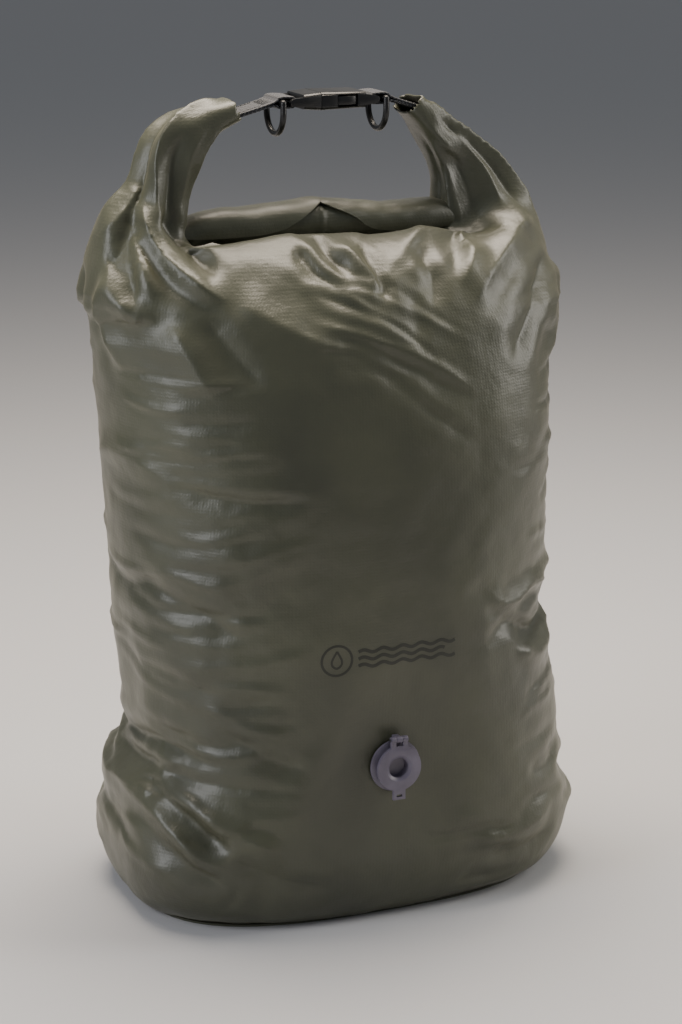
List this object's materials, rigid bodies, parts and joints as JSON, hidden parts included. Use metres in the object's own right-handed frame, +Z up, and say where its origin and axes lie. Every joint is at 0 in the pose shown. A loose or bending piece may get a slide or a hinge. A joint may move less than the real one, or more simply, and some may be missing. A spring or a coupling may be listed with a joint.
{
  "type": "compression sack",
  "caption": "Roll-top compression sack of coated fabric with an air-release valve and a buckled carrying loop with two D-rings.",
  "frame": {"origin": "centre of the base, on the surface that the sack stands on", "axes": "+Z up along the sack's height, -Y out of the front where the valve is, +X to the right seen from the front"},
  "size_m": [0.336, 0.2436, 0.5637],
  "materials": {
    "coated_fabric": "olive coated nylon, satin sheen",
    "seam_tape": "translucent welded seam tape",
    "stiffener": "flexible plastic strip",
    "webbing": "dark grey woven polyester",
    "thread": "dark bonded thread",
    "acetal": "black moulded acetal",
    "valve_plastic": "purplish grey moulded valve plastic",
    "pin_metal": "steel hinge pin",
    "valve_rubber": "soft black rubber"
  },
  "bodies": {
    "sack": {"body_tube": "coated_fabric", "base_panel": "coated_fabric", "base_seam_tape": "seam_tape", "back_seam_tape": "seam_tape", "valve_body": "valve_plastic", "valve_backing_ring": "valve_plastic", "valve_gasket": "valve_rubber", "valve_hinge_pin": "pin_metal"},
    "closure": {"upper_body": "coated_fabric", "mouth_collar": "coated_fabric", "upper_seam_tape": "seam_tape"},
    "handle": {"fold_roll": "coated_fabric", "front_stiffener": "stiffener", "rear_stiffener": "stiffener", "left_horn": "coated_fabric", "right_horn": "coated_fabric", "right_webbing_tab": "webbing", "buckle_socket": "acetal", "right_bartack": "thread"},
    "plug": {"left_webbing_tab": "webbing", "buckle_plug": "acetal", "left_bartack": "thread"},
    "front_arm": {"front_squeeze_arm": "acetal"},
    "rear_arm": {"rear_squeeze_arm": "acetal"},
    "left_ring": {"left_d_ring": "acetal"},
    "right_ring": {"right_d_ring": "acetal"},
    "lid": {"valve_lid": "valve_plastic", "lid_seal": "valve_rubber"},
    "disc": {"check_disc": "valve_rubber"}
  },
  "joints": [
    {"name": "compress", "type": "slide", "parent": "sack", "child": "closure", "axis": [0, 0, 1], "range_m": [-0.11, 0]},
    {"name": "handle_tilt", "type": "hinge", "parent": "closure", "child": "handle", "pos_m": [0, 0, 0.484], "axis": [1, 0, 0], "range_deg": [-35, 35]},
    {"name": "plug_release", "type": "slide", "parent": "handle", "child": "plug", "axis": [-1, 0, 0], "range_m": [0, 0.0285], "deforming": ["front_squeeze_arm", "rear_squeeze_arm"]},
    {"name": "front_squeeze", "type": "hinge", "parent": "plug", "child": "front_arm", "pos_m": [-0.0136, -0.011, 0.557], "axis": [0, 0, 1], "range_deg": [0, 6.5], "stiffness_Nm_per_rad": 0.05},
    {"name": "rear_squeeze", "type": "hinge", "parent": "plug", "child": "rear_arm", "pos_m": [-0.0136, 0.011, 0.557], "axis": [0, 0, -1], "range_deg": [0, 6.5], "stiffness_Nm_per_rad": 0.05},
    {"name": "left_ring_swing", "type": "hinge", "parent": "plug", "child": "left_ring", "pos_m": [-0.0379, 0, 0.557], "axis": [0, -1, 0], "range_deg": [-12, 40]},
    {"name": "right_ring_swing", "type": "hinge", "parent": "handle", "child": "right_ring", "pos_m": [0.0379, 0, 0.557], "axis": [0, -1, 0], "range_deg": [-40, 50]},
    {"name": "lid_open", "type": "hinge", "parent": "sack", "child": "lid", "pos_m": [0, -0.12447, 0.1356], "axis": [-1, 0, 0], "range_deg": [0, 150]},
    {"name": "disc_lift", "type": "slide", "parent": "sack", "child": "disc", "axis": [0, -1, 0], "range_m": [0, 0.0012], "stiffness_N_per_m": 20}
  ],
  "couplings": [
    {"joint": "rear_squeeze", "follows": "front_squeeze", "ratio": 1}
  ]
}
